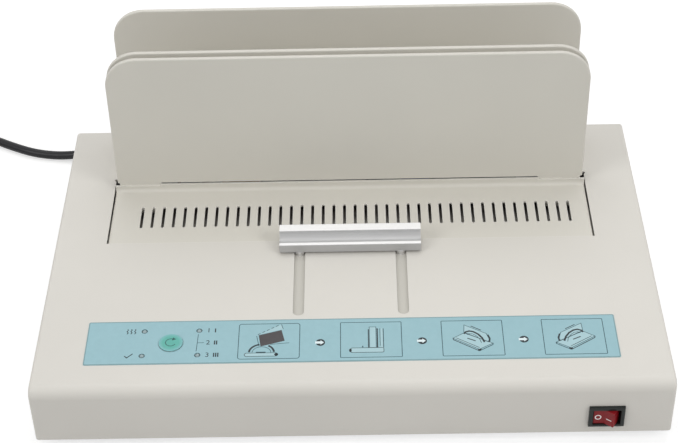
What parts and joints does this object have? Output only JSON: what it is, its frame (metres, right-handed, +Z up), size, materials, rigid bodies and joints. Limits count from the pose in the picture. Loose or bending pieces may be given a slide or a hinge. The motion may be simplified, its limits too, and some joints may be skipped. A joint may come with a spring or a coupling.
{
  "type": "thermal binding machine",
  "caption": "Low sheet-metal thermal binding machine: housing with a heated slot, upright plates, a sliding front plate with a handle, a panel label, a rocker switch and a mains cord.",
  "frame": {"origin": "on the table, under the middle of the housing", "axes": "+X to the user's right along the housing, +Y to the back, +Z up"},
  "size_m": [0.5916, 0.3252, 0.1514],
  "materials": {
    "housing_paint": "fine satin powder coat",
    "plate_paint": "smooth satin paint",
    "tray_steel": "zinc plated",
    "fastener_steel": "zinc plated",
    "foot_rubber": "matt",
    "rod_steel": "ground",
    "plain_aluminium": "mill finish",
    "bright_aluminium": "bright extruded",
    "hot_plate_aluminium": "milled",
    "heater_mica": "mica laminate",
    "fibre_board": "fibrous",
    "post_ceramic": "unglazed",
    "label_print": "satin printed film",
    "lamp_lens": "clear tinted",
    "key_print": "satin",
    "black_plastic": "moulded",
    "board_laminate": "solder mask",
    "brass_plain": "plated",
    "bezel_plastic": "moulded",
    "rocker_red": "moulded",
    "relay_blue": "moulded",
    "fuse_glass": "clear",
    "terminal_green": "moulded",
    "core_iron": "laminated",
    "winding_tape": "varnished copper",
    "wire_brown": "insulation",
    "wire_black": "insulation",
    "wire_white": "glass sleeve",
    "cable_grey": "insulation",
    "nylon_white": "moulded",
    "cord_black": "smooth",
    "plug_black": "moulded",
    "pin_brass": "polished"
  },
  "bodies": {
    "housing": {"top_cover": "housing_paint", "base_plate": "tray_steel", "rubber_feet": "foot_rubber", "feet_screws": "fastener_steel", "tray_nuts": "fastener_steel", "tray_screws": "fastener_steel", "cover_screws": "fastener_steel", "middle_plate": "plate_paint", "back_plate": "plate_paint", "plate_screws": "fastener_steel", "plate_nuts": "fastener_steel", "guide_rods": "rod_steel", "rod_brackets": "plain_aluminium", "bracket_screws": "fastener_steel", "hot_plate": "hot_plate_aluminium", "heating_element": "heater_mica", "heater_insulation": "fibre_board", "heater_tray": "tray_steel", "heater_posts": "post_ceramic", "heater_screws": "fastener_steel", "thermal_cutout": "black_plastic", "temperature_sensor": "fastener_steel", "label_overlay": "label_print", "indicator_leds": "lamp_lens", "tact_switch": "black_plastic", "control_board": "board_laminate", "board_standoffs": "brass_plain", "board_screws": "fastener_steel", "buzzer": "black_plastic", "controller_chip": "black_plastic", "switch_housing": "bezel_plastic", "switch_terminals": "brass_plain", "power_board": "board_laminate", "board_supports": "nylon_white", "relay": "relay_blue", "fuse": "fuse_glass", "fuse_clips": "brass_plain", "terminal_block": "terminal_green", "transformer_core": "core_iron", "transformer_winding": "winding_tape", "earth_lug": "brass_plain", "supply_wires": "wire_brown", "switch_wires": "wire_black", "heater_wires": "wire_white", "panel_cable": "cable_grey", "cord_bushing": "plug_black", "power_cord": "cord_black", "cord_coil": "cord_black", "plug_body": "plug_black", "plug_pins": "pin_brass"},
    "carriage": {"carriage_sheet": "plate_paint", "front_plate": "plate_paint", "front_plate_nuts": "fastener_steel", "handle": "bright_aluminium", "handle_spacers": "plain_aluminium", "handle_screws": "fastener_steel", "glide_blocks": "nylon_white", "glide_screws": "fastener_steel"},
    "rocker": {"rocker_button": "rocker_red"},
    "select_key": {"select_button": "key_print"}
  },
  "joints": [
    {"name": "carriage_slide", "type": "slide", "parent": "housing", "child": "carriage", "axis": [0, -1, 0], "range_m": [0, 0.053]},
    {"name": "rocker_turn", "type": "hinge", "parent": "housing", "child": "rocker", "pos_m": [0.1504, -0.123, 0.0218], "axis": [0, 0, 1], "range_deg": [0, 36]},
    {"name": "select_press", "type": "slide", "parent": "housing", "child": "select_key", "axis": [0, 0, -1], "range_m": [0, 0.0005], "stiffness_N_per_m": 400}
  ]
}
